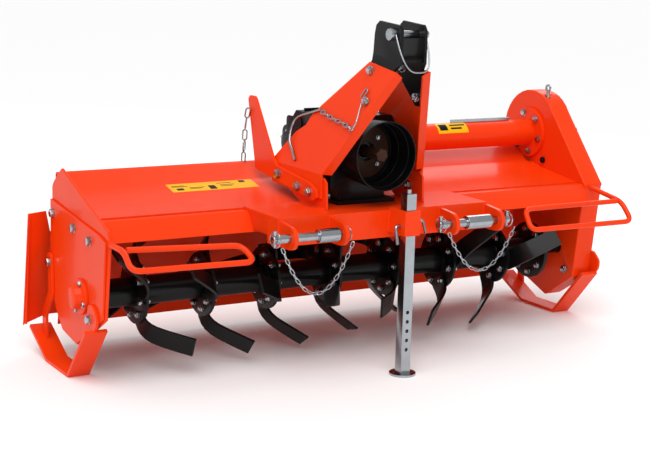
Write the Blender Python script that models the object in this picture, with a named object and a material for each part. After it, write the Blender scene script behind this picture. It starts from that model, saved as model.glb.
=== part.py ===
"""Rotary tiller for a compact tractor's three-point hitch.

The hitch side faces -Y, the working width runs along X with the drive case at +X, and the skids and
the parking leg stand on Z = 0. Sizes are in metres.
"""

import math

import bmesh
import bpy
from mathutils import Matrix, Vector

# ---------------------------------------------------------------- driving sizes
GAP = 0.0003  # between two pieces that touch
PIN_FIT = 0.0004  # round a pin or shaft in its bore, on the radius

INNER_LEFT = -0.772  # inner faces of the two ends of the rotor housing
INNER_RIGHT = 0.775
PLATE = 0.008  # end plate
COVER = 0.006  # bolted cover on the left end plate
CASE_WIDTH = 0.063  # drive case on the right
CASE_COVER = 0.005
REAR_Y = 0.228  # rear edge of both ends
HITCH_X = -0.038  # middle of the hitch, mast and gearbox

ROTOR_Y = 0.0
ROTOR_Z = 0.218
ROTOR_TUBE_RADIUS = 0.038
ROTOR_STUB_RADIUS = 0.0175
SWING_RADIUS = 0.202  # of the tine tips
FLANGE_COUNT = 7
FLANGE_FIRST_X = -0.640
FLANGE_PITCH = 0.1935
FLANGE_RADIUS = 0.087
FLANGE_THICKNESS = 0.008
TINES_PER_FLANGE = 4
TINE_REACH = 0.1115  # sideways, from the middle of the flange
TINE_THICKNESS = 0.007
TINE_WIDTH = 0.057
TINE_SLOPE = 1.19  # sideways per unit of length beyond the bend
TIP_ANGLES = (52.7, 34.6, 18.2, 1.4, -16.4, -38.9, -58.1)  # degrees from straight down, forwards
DRIVE_FLANGE_X = 0.665
DRIVE_FLANGE_RADIUS = 0.085

SHEET = 0.004
RAIL_TOP_Y = -0.106  # front rail's upper front corner
RAIL_TOP_Z = 0.430
RAIL_BOTTOM_Y = -0.136
RAIL_BOTTOM_Z = 0.380
HINGE_Y = 0.238
HINGE_Z = 0.468
HINGE_ROD_RADIUS = 0.006
HINGE_LUG_X = 0.62
TAILBOARD_SHEET = 0.003
BOARD_END = 0.776
BOARD_LEAN = 0.161  # rearwards per unit of height
LEFT_WING = 0.074
RIGHT_WING = 0.056
LEFT_WING_SLOPE = 0.404  # forwards per unit of width
RIGHT_WING_SLOPE = 0.0  # flat, to pass behind the drive case

BEAM_FRONT_Y = -0.275
BEAM_BACK_Y = -0.215
BEAM_PLATE_Z = 0.4303  # underside of the plate on the beam
BEAM_PLATE = 0.008
BEAM_PLATE_BACK_Y = -0.080
BEAM_BOTTOM_Z = 0.365
EAR_OUTER = 0.321  # from the middle of the hitch
EAR_INNER = 0.172
EAR = 0.011
LOWER_PIN_Y = -0.330
LOWER_PIN_Z = 0.398
LOWER_PIN_RADIUS = 0.0111
SLEEVE_RADIUS = 0.01825

TOP_PIN_Y = -0.335
TOP_PIN_Z = 0.903
TOP_PIN_RADIUS = 0.010
CLEVIS_PLATE = 0.008
CLEVIS_BEND_Z = 0.830

MAST_SHEET = 0.006
MAST_FOOT_HALF = 0.158  # half the mast's width below its bend
MAST_BEND_Z = 0.530
MAST_LEAN = 0.38  # inwards per unit of height

PTO_Z = 0.579
PTO_SHAFT_RADIUS = 0.0175
CUP_RADIUS = 0.093
CUP_RIM_Y = -0.262
CUP_BACK_Y = -0.152
GEARBOX_HALF = 0.100
GEARBOX_TOP_Z = 0.670

SHAFT_TUBE_Y = 0.165
SHAFT_TUBE_Z = 0.556
SHAFT_TUBE_RADIUS = 0.040
TUBE_FLANGE_RADIUS = 0.078

LEG_X = -0.010
LEG_Y = -0.332
LEG_SIZE = 0.029
LEG_TOP_Z = 0.490
LEG_FIT = 0.0006
SOCKET_HALF = 0.024
SOCKET_FRONT_Y = -0.356
SOCKET_BOTTOM_Z = 0.380
SOCKET_TOP_Z = 0.446

SKID_WIDTH = 0.061
SKID_THICKNESS = 0.010
GUARD_BAR_RADIUS = 0.0075

FINISHES = {
    "orange_paint": ((0.86, 0.08, 0.015), 0.28, 0.0),
    "black_paint": ((0.012, 0.012, 0.013), 0.30, 0.0),
    "zinc": ((0.62, 0.64, 0.66), 0.32, 1.0),
    "black_plastic": ((0.018, 0.018, 0.018), 0.42, 0.0),
}


# ---------------------------------------------------------------- scene helpers
def clear_scene():
    for obj in list(bpy.data.objects):
        bpy.data.objects.remove(obj)


def finish(name):
    """The named finish as a material, made once."""
    found = bpy.data.materials.get(name)
    if found:
        return found
    colour, roughness, metallic = FINISHES[name]
    material = bpy.data.materials.new(name)
    material.use_nodes = True
    shader = material.node_tree.nodes["Principled BSDF"]
    shader.inputs["Base Color"].default_value = (*colour, 1.0)
    shader.inputs["Roughness"].default_value = roughness
    shader.inputs["Metallic"].default_value = metallic
    material.diffuse_color = (*colour, 1.0)
    return material


def place(name, data, finish_name, root, origin=(0.0, 0.0, 0.0)):
    """Link an object whose data is already in the tiller's frame, with its own origin."""
    data.transform(Matrix.Translation(-Vector(origin)))
    obj = bpy.data.objects.new(name, data)
    obj.location = origin
    obj.parent = root
    bpy.context.scene.collection.objects.link(obj)
    data.materials.append(finish(finish_name))
    return obj


def solid(name, bm, finish_name, root, origin=(0.0, 0.0, 0.0), smooth=False):
    mesh = bpy.data.meshes.new(name)
    bmesh.ops.recalc_face_normals(bm, faces=bm.faces)
    bm.to_mesh(mesh)
    bm.free()
    if smooth:
        mesh.shade_smooth()
        mesh.set_sharp_from_angle(angle=math.radians(35))
    return place(name, mesh, finish_name, root, origin)


def helper(name, bm, root):
    """A shape that only cuts or joins another one."""
    obj = solid(name, bm, "zinc", root)
    obj.hide_render = True
    obj.display_type = "WIRE"
    return obj


def combine(obj, operation, other):
    modifier = obj.modifiers.new(other.name, "BOOLEAN")
    modifier.operation = operation
    modifier.solver = "EXACT"
    modifier.object = other


def join(obj, bm):
    combine(obj, "UNION", helper(obj.name + "_add", bm, obj.parent))


def cut(obj, bm):
    combine(obj, "DIFFERENCE", helper(obj.name + "_cut", bm, obj.parent))


def soften(obj, width=0.0015, segments=2):
    modifier = obj.modifiers.new("edges", "BEVEL")
    modifier.width = width
    modifier.segments = segments
    modifier.limit_method = "ANGLE"
    modifier.angle_limit = math.radians(30)


# ---------------------------------------------------------------- shape helpers
def prism(outline, x0, x1):
    """A (y, z) outline extruded along X."""
    bm = bmesh.new()
    face = bm.faces.new([bm.verts.new((x0, y, z)) for y, z in outline])
    grown = bmesh.ops.extrude_face_region(bm, geom=[face])
    moved = [v for v in grown["geom"] if isinstance(v, bmesh.types.BMVert)]
    bmesh.ops.translate(bm, verts=moved, vec=(x1 - x0, 0, 0))
    return bm


def box(low, high):
    (x0, y0, z0), (x1, y1, z1) = low, high
    return prism([(y0, z0), (y1, z0), (y1, z1), (y0, z1)], x0, x1)


def arc(centre, radius, start, end, steps):
    """Points on a circle, angles in degrees from +Y towards +Z."""
    angles = [math.radians(start + (end - start) * i / steps) for i in range(steps + 1)]
    return [(centre[0] + radius * math.cos(a), centre[1] + radius * math.sin(a)) for a in angles]


def fillet(outline, radius, steps=3):
    """The outline with each corner rounded, less where a side is short."""
    result = []
    count = len(outline)
    for i, point in enumerate(outline):
        corner = Vector(point)
        before = Vector(outline[i - 1]) - corner
        after = Vector(outline[(i + 1) % count]) - corner
        reach = min(radius, 0.45 * before.length, 0.45 * after.length)
        a = corner + before.normalized() * reach
        b = corner + after.normalized() * reach
        for k in range(steps + 1):
            t = k / steps
            result.append(tuple(a * (1 - t) ** 2 + corner * (2 * t * (1 - t)) + b * t ** 2))
    return result


def sheet_outline(top, thickness):
    """A folded sheet's edge: the line of its top face, and that line set back by the thickness."""
    points = [Vector(p) for p in top]
    normals = []
    for a, b in zip(points, points[1:]):
        along = (b - a).normalized()
        normals.append(Vector((along.y, -along.x)))
    under = []
    for i, point in enumerate(points):
        first = normals[max(i - 1, 0)]
        second = normals[min(i, len(normals) - 1)]
        middle = (first + second).normalized()
        under.append(point + middle * (thickness / middle.dot(first)))
    return [tuple(p) for p in points] + [tuple(p) for p in reversed(under)]


def turned(profile, centre, axis="X", segments=32, ring=False):
    """Points (along, radius) spun round an axis; a ring's profile closes on itself."""
    bm = bmesh.new()
    verts = [bm.verts.new((along, 0, radius)) for along, radius in profile]
    pairs = list(zip(verts, verts[1:]))
    if ring:
        pairs.append((verts[-1], verts[0]))
    edges = [bm.edges.new(pair) for pair in pairs]
    bmesh.ops.spin(
        bm, geom=verts + edges, cent=(0, 0, 0), axis=(1, 0, 0),
        angle=math.tau, steps=segments, use_merge=True,
    )
    bmesh.ops.remove_doubles(bm, verts=bm.verts, dist=1e-6)
    turn = {
        "X": Matrix.Identity(3),
        "Y": Matrix.Rotation(math.pi / 2, 3, "Z"),
        "Z": Matrix.Rotation(-math.pi / 2, 3, "Y"),
    }[axis]
    bmesh.ops.rotate(bm, verts=bm.verts, cent=(0, 0, 0), matrix=turn)
    bmesh.ops.translate(bm, verts=bm.verts, vec=centre)
    return bm


def cylinder(start, end, radius, centre, axis="X", segments=24):
    profile = [(start, 0), (start, radius), (end, radius), (end, 0)]
    return turned(profile, centre, axis, segments)


def bar(name, points, radius, finish_name, root, origin=(0.0, 0.0, 0.0), sides=2):
    """Round bar or wire along points."""
    curve = bpy.data.curves.new(name, "CURVE")
    curve.dimensions = "3D"
    curve.bevel_depth = radius
    curve.bevel_resolution = sides
    curve.use_fill_caps = True
    spline = curve.splines.new("POLY")
    spline.points.add(len(points) - 1)
    for target, point in zip(spline.points, points):
        target.co = (*point, 1.0)
    return place(name, curve, finish_name, root, origin)


def rounded_path(points, radius, steps=4):
    """A path with its inner corners rounded."""
    path = [Vector(points[0])]
    for before, corner, after in zip(points, points[1:], points[2:]):
        corner = Vector(corner)
        back = Vector(before) - corner
        ahead = Vector(after) - corner
        reach = min(radius, 0.45 * back.length, 0.45 * ahead.length)
        a = corner + back.normalized() * reach
        b = corner + ahead.normalized() * reach
        for k in range(steps + 1):
            t = k / steps
            path.append(a * (1 - t) ** 2 + corner * (2 * t * (1 - t)) + b * t ** 2)
    path.append(Vector(points[-1]))
    return path


# ---------------------------------------------------------------- rotor housing
def build_left_end(root):
    outline = [
        (-0.156, 0.415), (-0.169, 0.388), (-0.142, 0.186), (0.040, 0.076), (0.144, 0.092), (0.191, 0.138),
        (REAR_Y, 0.200), (REAR_Y, 0.470), (0.216, 0.484), (0.158, 0.527),
    ]
    plate = solid("left_end_plate", prism(outline, INNER_LEFT - PLATE, INNER_LEFT), "orange_paint", root)
    outside = INNER_LEFT - PLATE - GAP
    outline = [
        (-0.111, 0.400), (-0.158, 0.388), (-0.138, 0.188), (0.042, 0.080), (0.142, 0.095), (0.188, 0.140),
        (REAR_Y - 0.002, 0.204), (REAR_Y - 0.002, 0.436),
    ]
    cover = solid("left_cover_plate", prism(outline, outside - COVER, outside), "orange_paint", root)
    bore = ROTOR_STUB_RADIUS + PIN_FIT
    centre = (0, ROTOR_Y, ROTOR_Z)
    for obj in (plate, cover):
        cut(obj, cylinder(outside - 0.02, INNER_LEFT + 0.01, bore, centre))
    face = outside - COVER - GAP
    profile = [
        (face - 0.022, 0), (face - 0.022, bore), (face, bore), (face, 0.047), (face - 0.008, 0.047),
        (face - 0.010, 0.032), (face - 0.028, 0.029), (face - 0.030, 0.025), (face - 0.030, 0),
    ]
    solid("left_bearing_housing", turned(profile, centre), "orange_paint", root, smooth=True)


def case_outline(inset=0.0):
    top = arc((SHAFT_TUBE_Y, 0.560), 0.128 - inset, -35, 148, 16)
    return [
        (-0.114 + inset, 0.430), (-0.105 + inset, 0.348), (-0.080 + inset, 0.138), (0.045, 0.055 + inset),
        (0.144 - inset, 0.092), (0.191 - inset, 0.138), (REAR_Y - inset, 0.200), (REAR_Y - inset, 0.470),
    ] + top


def build_drive_case(root):
    outside = INNER_RIGHT + CASE_WIDTH
    case = solid("drive_case", prism(case_outline(), INNER_RIGHT, outside), "orange_paint", root, smooth=True)
    bore = ROTOR_STUB_RADIUS + PIN_FIT
    cut(case, cylinder(INNER_RIGHT - 0.01, INNER_RIGHT + 0.040, bore, (0, ROTOR_Y, ROTOR_Z)))
    eye = (INNER_RIGHT + 0.018, 0.105, 0)
    cut(case, cylinder(0.650, 0.720, 0.006 + GAP, eye, "Z", 16))
    start = outside + GAP
    cover = prism(case_outline(0.003), start, start + CASE_COVER)
    solid("drive_case_cover", cover, "orange_paint", root, smooth=True)
    back = INNER_RIGHT - GAP
    plug = [(back - 0.007, 0), (back - 0.007, 0.009), (back, 0.010), (back, 0)]
    solid("case_plug", turned(plug, (0, 0.088, 0.477), segments=16), "black_plastic", root, smooth=True)
    stem = cylinder(0.650 + GAP, 0.689, 0.006, eye, "Z", 16)
    lifting_eye = solid("lifting_eye", stem, "zinc", root, smooth=True)
    loop = [(0.0035 * math.cos(a), 0.0095 + 0.0035 * math.sin(a)) for a in [math.tau * i / 8 for i in range(8)]]
    join(lifting_eye, turned(loop, (eye[0], eye[1], 0.6985), "X", 20, ring=True))


def build_hood(root):
    left = INNER_LEFT + GAP
    right = INNER_RIGHT - GAP
    line = [(RAIL_BOTTOM_Y, RAIL_BOTTOM_Z), (RAIL_TOP_Y, RAIL_TOP_Z), (-0.066, RAIL_TOP_Z)]
    rail = solid("front_rail", prism(sheet_outline(line, SHEET), left, right), "orange_paint", root)
    soften(rail, 0.0008, 1)
    seat = RAIL_TOP_Z + GAP + SHEET
    line = [
        (BEAM_PLATE_BACK_Y + GAP, seat), (-0.066, seat), (0.085, 0.453), (0.150, 0.468), (0.203, 0.503),
        (0.219, 0.5080), (0.2235, 0.501), (0.2235, 0.440),
    ]
    hood = solid("hood", prism(sheet_outline(line, SHEET), left, right), "orange_paint", root)
    for x in hinge_lug_places():
        eye = [(0.2215, 0.456), (0.2215, 0.480)] + arc((HINGE_Y, HINGE_Z), 0.012, 90, -90, 8)
        join(hood, prism(eye, x - 0.005, x + 0.005))
        cut(hood, cylinder(x - 0.01, x + 0.01, HINGE_ROD_RADIUS + PIN_FIT, (0, HINGE_Y, HINGE_Z), segments=16))
    cut(hood, box((right - 0.016, 0.140, 0.458), (right + 0.02, 0.260, 0.530)))


def hinge_lug_places():
    return [-HINGE_LUG_X, 0.0, HINGE_LUG_X]


# ---------------------------------------------------------------- tailboard
def board_y(z):
    return HINGE_Y + (HINGE_Z - z) * BOARD_LEAN


def build_tailboard(root):
    """The hinged rear board with its two bent wings, about the hinge rod."""
    bottom, notch, chamfer, top = 0.066, 0.100, 0.340, HINGE_Z - 0.004
    inner = 0.740
    bm = bmesh.new()
    corners = {}

    def vert(x, z, lip=0.0):
        key = (round(x, 5), round(z, 5), lip)
        if key not in corners:
            beyond = max(abs(x) - BOARD_END, 0.0)
            slope = LEFT_WING_SLOPE if x < 0 else RIGHT_WING_SLOPE
            corners[key] = bm.verts.new((x, board_y(z) - beyond * slope - lip, z))
        return corners[key]

    def panel(points):
        bm.faces.new([vert(*p) for p in points])

    rows = [bottom, notch, chamfer, top]
    for low, high in zip(rows, rows[1:]):
        panel([(-inner, low), (inner, low), (inner, high), (-inner, high)])
    for side, wing in ((-1, LEFT_WING), (1, RIGHT_WING)):
        end = side * BOARD_END
        outer = end + side * wing
        panel([(side * inner, notch), (end, notch), (end, chamfer), (side * inner, chamfer)])
        shoulder = end + side * 0.017
        panel([(end, notch), (outer, 0.086), (outer, 0.400), (shoulder, 0.400), (end, chamfer)])
        lip = outer + side * 0.003
        panel([(outer, 0.086), (lip, 0.086, 0.010), (lip, 0.400, 0.010), (outer, 0.400)])
    board = solid("tailboard", bm, "orange_paint", root, (0.0, HINGE_Y, HINGE_Z))
    thick = board.modifiers.new("sheet", "SOLIDIFY")
    thick.thickness = TAILBOARD_SHEET
    thick.offset = 0.0
    for x in hinge_lug_places():
        cut(board, box((x - 0.011, HINGE_Y - 0.02, HINGE_Z - 0.026), (x + 0.011, HINGE_Y + 0.03, HINGE_Z + 0.02)))
    join(board, cylinder(-0.752, 0.752, HINGE_ROD_RADIUS, (0, HINGE_Y, HINGE_Z), segments=12))


# ---------------------------------------------------------------- rotor
def rotor_point(x, radius, angle):
    """Angles run from straight down towards the front."""
    return Vector((x, ROTOR_Y - radius * math.sin(angle), ROTOR_Z - radius * math.cos(angle)))


def tine(x, side, tip_angle):
    """A wide blade: flat against its flange at the root, then bent sideways and swept back."""
    stations = 11
    root, root_pull, tip_pull, tip = (
        Vector((-0.0311, 0.0339)), Vector((-0.0586, 0.0757)), Vector((-0.0480, 0.1218)), Vector((-0.0274, 0.1939)),
    )
    path = []
    for i in range(stations):
        t = i / (stations - 1)
        path.append(
            root * (1 - t) ** 3 + root_pull * 3 * t * (1 - t) ** 2 + tip_pull * 3 * t * t * (1 - t) + tip * t ** 3
        )
    left = [0.0]
    for a, b in zip(reversed(path), list(reversed(path))[1:]):
        left.append(left[-1] + (b - a).length)
    left.reverse()
    seat = FLANGE_THICKNESS / 2 + TINE_THICKNESS / 2 - 0.0006
    bend_start, bend_end = 0.125, 0.065
    out = []
    for to_tip in left:
        if to_tip >= bend_start:
            gain = 0.0
        elif to_tip >= bend_end:
            gain = TINE_SLOPE * (bend_start - to_tip) ** 2 / (2 * (bend_start - bend_end))
        else:
            gain = TINE_SLOPE * ((bend_start - bend_end) / 2 + bend_end - to_tip)
        out.append(gain)
    stretch = (TINE_REACH - seat) / out[-1]
    out = [seat + gain * stretch for gain in out]
    ahead = Vector((0, -math.cos(tip_angle), math.sin(tip_angle)))
    outward = Vector((0, -math.sin(tip_angle), -math.cos(tip_angle)))
    origin = Vector((x, ROTOR_Y, ROTOR_Z))
    centres = [origin + Vector((side * o, 0, 0)) + ahead * q.x + outward * q.y for o, q in zip(out, path)]
    bm = bmesh.new()
    rings = []
    for i in range(stations):
        before, after = max(i - 1, 0), min(i + 1, stations - 1)
        along = (centres[after] - centres[before]).normalized()
        flat = (path[after] - path[before]).normalized()
        across = ahead * flat.y - outward * flat.x
        normal = along.cross(across).normalized()
        half = TINE_WIDTH / 2 + 0.0050 * max(0.0, 1 - i / 3)
        thick = TINE_THICKNESS / 2
        ring = []
        for u, v in ((-1, -1), (1, -1), (1, 1), (-1, 1)):
            ring.append(bm.verts.new(centres[i] + across * (u * half) + normal * (v * thick)))
        rings.append(ring)
    for a, b in zip(rings, rings[1:]):
        for k in range(4):
            bm.faces.new((a[k], a[(k + 1) % 4], b[(k + 1) % 4], b[k]))
    bm.faces.new(list(reversed(rings[0])))
    bm.faces.new(rings[-1])
    furthest = max(math.hypot(v.co.y - ROTOR_Y, v.co.z - ROTOR_Z) for v in bm.verts)
    for v in bm.verts:
        reach = math.hypot(v.co.y - ROTOR_Y, v.co.z - ROTOR_Z)
        share = max(0.0, (reach - 0.080) / (furthest - 0.080))
        scale = 1 + share * (SWING_RADIUS / furthest - 1)
        v.co.y = ROTOR_Y + (v.co.y - ROTOR_Y) * scale
        v.co.z = ROTOR_Z + (v.co.z - ROTOR_Z) * scale
    return bm


def ring_disc(x, thickness, outer, inner, segments=32):
    half = thickness / 2
    profile = [(x - half, inner), (x - half, outer), (x + half, outer), (x + half, inner)]
    return turned(profile, (0, ROTOR_Y, ROTOR_Z), segments=segments, ring=True)


def build_rotor(root):
    axis = (0, ROTOR_Y, ROTOR_Z)
    low = INNER_LEFT - PLATE - COVER - 0.020
    left, right, high = INNER_LEFT + 0.006, 0.712, INNER_RIGHT + 0.036
    profile = [
        (low, 0), (low, ROTOR_STUB_RADIUS), (left, ROTOR_STUB_RADIUS), (left, ROTOR_TUBE_RADIUS),
        (right, ROTOR_TUBE_RADIUS), (right, ROTOR_STUB_RADIUS), (high, ROTOR_STUB_RADIUS), (high, 0),
    ]
    solid("rotor_tube", turned(profile, axis), "black_paint", root, axis, smooth=True)
    bore = ROTOR_TUBE_RADIUS + GAP
    for number in range(FLANGE_COUNT):
        x = FLANGE_FIRST_X + number * FLANGE_PITCH
        disc = ring_disc(x, FLANGE_THICKNESS, FLANGE_RADIUS, bore)
        flange = solid(f"rotor_flange_{number + 1}", disc, "black_paint", root, axis)
        for k in range(TINES_PER_FLANGE):
            side = 1 if k % 2 == 0 else -1
            angle = math.radians(TIP_ANGLES[number]) + k * math.tau / TINES_PER_FLANGE
            join(flange, tine(x, side, angle))
    disc = ring_disc(DRIVE_FLANGE_X, 0.012, DRIVE_FLANGE_RADIUS, bore)
    solid("rotor_drive_flange", disc, "black_paint", root, axis, smooth=True)


# ---------------------------------------------------------------- skids
def build_skid(name, root, x0, side, lug_face):
    """A bent flat bar with its front lug and rear strap, bolted to one end of the housing."""
    line = [(0.309, 0.065), (0.178, 0.0), (0.018, 0.0), (-0.109, 0.148)]
    skid = solid(name, prism(sheet_outline(line, SKID_THICKNESS), x0, x0 + SKID_WIDTH), "orange_paint", root)
    far = lug_face + side * 0.008
    lug = fillet([(-0.1030, 0.1490), (-0.0300, 0.0640), (-0.018, 0.110), (-0.028, 0.150), (-0.056, 0.188),
                  (-0.062, 0.213), (-0.090, 0.215), (-0.118, 0.190), (-0.116, 0.164)], 0.008, 2)
    join(skid, prism(lug, min(lug_face, far), max(lug_face, far)))
    strap = [(0.204, 0.290), (0.195, 0.176), (0.247, 0.108), (0.243, 0.038), (0.271, 0.051),
             (0.275, 0.120), (0.224, 0.186), (0.232, 0.290)]
    join(skid, prism(fillet(strap, 0.008, 2), min(lug_face, far), max(lug_face, far)))


def build_skids(root):
    left_face = INNER_LEFT - PLATE - GAP - COVER - GAP
    right_face = INNER_RIGHT + CASE_WIDTH + GAP + CASE_COVER + GAP
    build_skid("left_skid", root, left_face - 0.0334, -1, left_face)
    build_skid("right_skid", root, right_face + 0.008 - SKID_WIDTH, 1, right_face)


# ---------------------------------------------------------------- hitch
def build_hitch_beam(root):
    left = HITCH_X - EAR_OUTER - EAR / 2
    right = HITCH_X + EAR_OUTER + EAR / 2
    top = BEAM_PLATE_Z + BEAM_PLATE
    profile = [
        (BEAM_FRONT_Y, top), (BEAM_FRONT_Y, BEAM_BOTTOM_Z), (BEAM_BACK_Y, BEAM_BOTTOM_Z),
        (BEAM_BACK_Y, BEAM_PLATE_Z), (BEAM_PLATE_BACK_Y, BEAM_PLATE_Z), (BEAM_PLATE_BACK_Y, top),
    ]
    beam = solid("hitch_beam", prism(profile, left, right), "orange_paint", root)
    slope = (RAIL_TOP_Y - RAIL_BOTTOM_Y) / (RAIL_TOP_Z - RAIL_BOTTOM_Z)
    low_z, high_z = 0.386, RAIL_TOP_Z - 0.001
    web = [
        (BEAM_BACK_Y - 0.004, BEAM_PLATE_Z + 0.003), (BEAM_BACK_Y - 0.004, low_z),
        (RAIL_TOP_Y - (RAIL_TOP_Z - low_z) * slope - 0.0005, low_z),
        (RAIL_TOP_Y - (RAIL_TOP_Z - high_z) * slope - 0.0005, high_z), (RAIL_TOP_Y, BEAM_PLATE_Z + 0.003),
    ]
    for offset in (-EAR_OUTER, -EAR_INNER, EAR_INNER, EAR_OUTER):
        x = HITCH_X + offset
        join(beam, prism(web, x - 0.004, x + 0.004))
    pin = (LOWER_PIN_Y, LOWER_PIN_Z)
    ear = [(BEAM_FRONT_Y + 0.010, 0.4340), (BEAM_FRONT_Y + 0.010, 0.3700), (BEAM_FRONT_Y - 0.020, 0.3670)]
    ear += arc(pin, 0.030, 270, 90, 8)
    for offset in (-EAR_OUTER, -EAR_INNER, EAR_INNER, EAR_OUTER):
        x = HITCH_X + offset
        join(beam, prism(ear, x - EAR / 2, x + EAR / 2))
    cut(beam, cylinder(left - 0.02, right + 0.02, LOWER_PIN_RADIUS + PIN_FIT, (0, *pin), segments=24))


def build_lower_pins(root):
    """Each pin from end to end, with its sleeve, as offsets from the middle of the hitch."""
    places = (
        ("left", -0.375, -0.155, -0.244, -0.185, 0.135),
        ("right", 0.127, 0.359, 0.217, 0.294, 0.120),
    )
    for name, low, high, start, end, drop in places:
        low, high, start, end = (HITCH_X + v for v in (low, high, start, end))
        chamfer = 0.002
        profile = [
            (low, 0), (low, LOWER_PIN_RADIUS - chamfer), (low + chamfer, LOWER_PIN_RADIUS),
            (start, LOWER_PIN_RADIUS), (start, SLEEVE_RADIUS), (end, SLEEVE_RADIUS), (end, LOWER_PIN_RADIUS),
            (high - chamfer, LOWER_PIN_RADIUS), (high, LOWER_PIN_RADIUS - chamfer), (high, 0),
        ]
        pin = turned(profile, (0, LOWER_PIN_Y, LOWER_PIN_Z), segments=24)
        solid("lower_hitch_pin_" + name, pin, "zinc", root, smooth=True)
        build_tether("tether_chain_" + name, root, low + 0.008, high - 0.006, drop)


def build_tether(name, root, x0, x1, drop):
    """The chain that hangs between the two ends of a hitch pin."""
    count = 20
    front = LOWER_PIN_Y - LOWER_PIN_RADIUS - GAP
    clear = LOWER_PIN_Y - 0.030 - 0.007
    path = [(x0, front, LOWER_PIN_Z)]
    for i in range(count + 1):
        t = i / count
        sag = drop * (1 - (2 * t - 1) ** 2)
        path.append((x0 + (x1 - x0) * t, clear, LOWER_PIN_Z - sag))
    path.append((x1, front, LOWER_PIN_Z))
    bar(name, path, 0.003, "zinc", root, sides=2)


def build_parking_leg(root):
    """A square tube with a foot that slides in its socket on the beam."""
    x0, x1 = LEG_X - SOCKET_HALF, LEG_X + SOCKET_HALF
    rear = BEAM_FRONT_Y - GAP
    socket = solid(
        "leg_socket", box((x0, SOCKET_FRONT_Y, SOCKET_BOTTOM_Z), (x1, rear, SOCKET_TOP_Z)), "orange_paint", root,
    )
    bore = LEG_SIZE / 2 + LEG_FIT
    cut(socket, box((LEG_X - bore, LEG_Y - bore, SOCKET_BOTTOM_Z - 0.01), (LEG_X + bore, LEG_Y + bore, SOCKET_TOP_Z + 0.01)))
    size = LEG_SIZE / 2
    leg = solid(
        "parking_leg", box((LEG_X - size, LEG_Y - size, 0.004), (LEG_X + size, LEG_Y + size, LEG_TOP_Z)),
        "zinc", root, (LEG_X, LEG_Y, SOCKET_BOTTOM_Z),
    )
    join(leg, cylinder(0.0, 0.006, 0.036, (LEG_X, LEG_Y, 0), "Z", 28))
    join(leg, cylinder(LEG_TOP_Z - 0.001, LEG_TOP_Z + 0.011, 0.006, (LEG_X, LEG_Y, 0), "Z", 12))
    for k in range(5):
        cut(leg, cylinder(LEG_Y - 0.03, LEG_Y + 0.03, 0.005, (LEG_X, 0, 0.173 - 0.0255 * k), "Y", 12))
    z = 0.405
    outer = x0 - GAP
    path = [(outer, LEG_Y, z), (outer - 0.014, LEG_Y, z), (outer - 0.016, LEG_Y - 0.014, z - 0.046)]
    bar("leg_pin_grip", rounded_path(path, 0.012), 0.005, "zinc", root)
    outer = x1 + GAP
    path = [(outer, LEG_Y, z + 0.012), (outer + 0.022, LEG_Y, z + 0.012), (outer + 0.026, LEG_Y - 0.010, z - 0.022)]
    bar("leg_pin_end", rounded_path(path, 0.010), 0.004, "zinc", root)


# ---------------------------------------------------------------- mast
def mast_half(z):
    """Half the mast's width at a height: upright foot, then leaning in to the clevis."""
    return MAST_FOOT_HALF - MAST_LEAN * max(0.0, z - MAST_BEND_Z)


def lean_length():
    return math.sqrt(1 + MAST_LEAN ** 2)


def build_mast_plate(name, side, root):
    """One side of the mast: a plate bent once near its foot, with a folded strip down its front."""
    bm = bmesh.new()

    def vert(y, z):
        return bm.verts.new((HITCH_X + side * mast_half(z), y, z))

    low = [vert(-0.200, 0.466), vert(0.066, 0.472)]
    bend = [vert(-0.200, MAST_BEND_Z), vert(0.075, MAST_BEND_Z)]
    front_top = vert(-0.370, 0.810)
    rest = [vert(0.028, 0.585), vert(-0.002, 0.618), vert(-0.040, 0.640), vert(-0.050, 0.664),
            vert(-0.083, 0.697), vert(-0.240, 0.826)]
    bm.faces.new((low[0], low[1], bend[1], bend[0]))
    bm.faces.new((bend[0], bend[1], *rest, front_top))
    along = (front_top.co - bend[0].co).normalized()
    inward = Vector((-side, 0, -MAST_LEAN)).normalized()
    strip = inward * 0.024
    outer_low = bm.verts.new(bend[0].co + strip + along * 0.010)
    outer_top = bm.verts.new(front_top.co + strip - along * 0.006)
    bm.faces.new((bend[0], front_top, outer_top, outer_low))
    plate = solid(name, bm, "orange_paint", root)
    thick = plate.modifiers.new("sheet", "SOLIDIFY")
    thick.thickness = MAST_SHEET
    thick.offset = 0.0


def build_mast_feet(root):
    """Brackets that carry the mast on the beam, and the rear arm outside the left one."""
    base = BEAM_PLATE_Z + BEAM_PLATE + GAP
    foot = [(-0.219, base), (-0.082, base), (-0.016, 0.465), (0.030, 0.490), (0.030, 0.521), (-0.198, 0.521),
            (-0.214, 0.510)]
    inner = MAST_FOOT_HALF - MAST_SHEET / 2 - GAP
    for name, side in (("mast_bracket_left", -1), ("mast_bracket_right", 1)):
        a = HITCH_X + side * inner
        b = HITCH_X + side * (inner - 0.006)
        solid(name, prism(foot, min(a, b), max(a, b)), "orange_paint", root)
    x = HITCH_X - MAST_FOOT_HALF - MAST_SHEET / 2 - GAP
    arm = [(0.155, 0.496), (0.160, 0.521), (0.203, 0.688), (0.194, 0.698), (0.166, 0.698), (0.157, 0.691),
           (0.052, 0.541), (0.030, 0.522), (-0.150, 0.503), (-0.186, 0.488), (-0.190, 0.468), (-0.172, 0.457)]
    solid("rear_arm", prism(arm, x - 0.008, x), "orange_paint", root)


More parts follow.
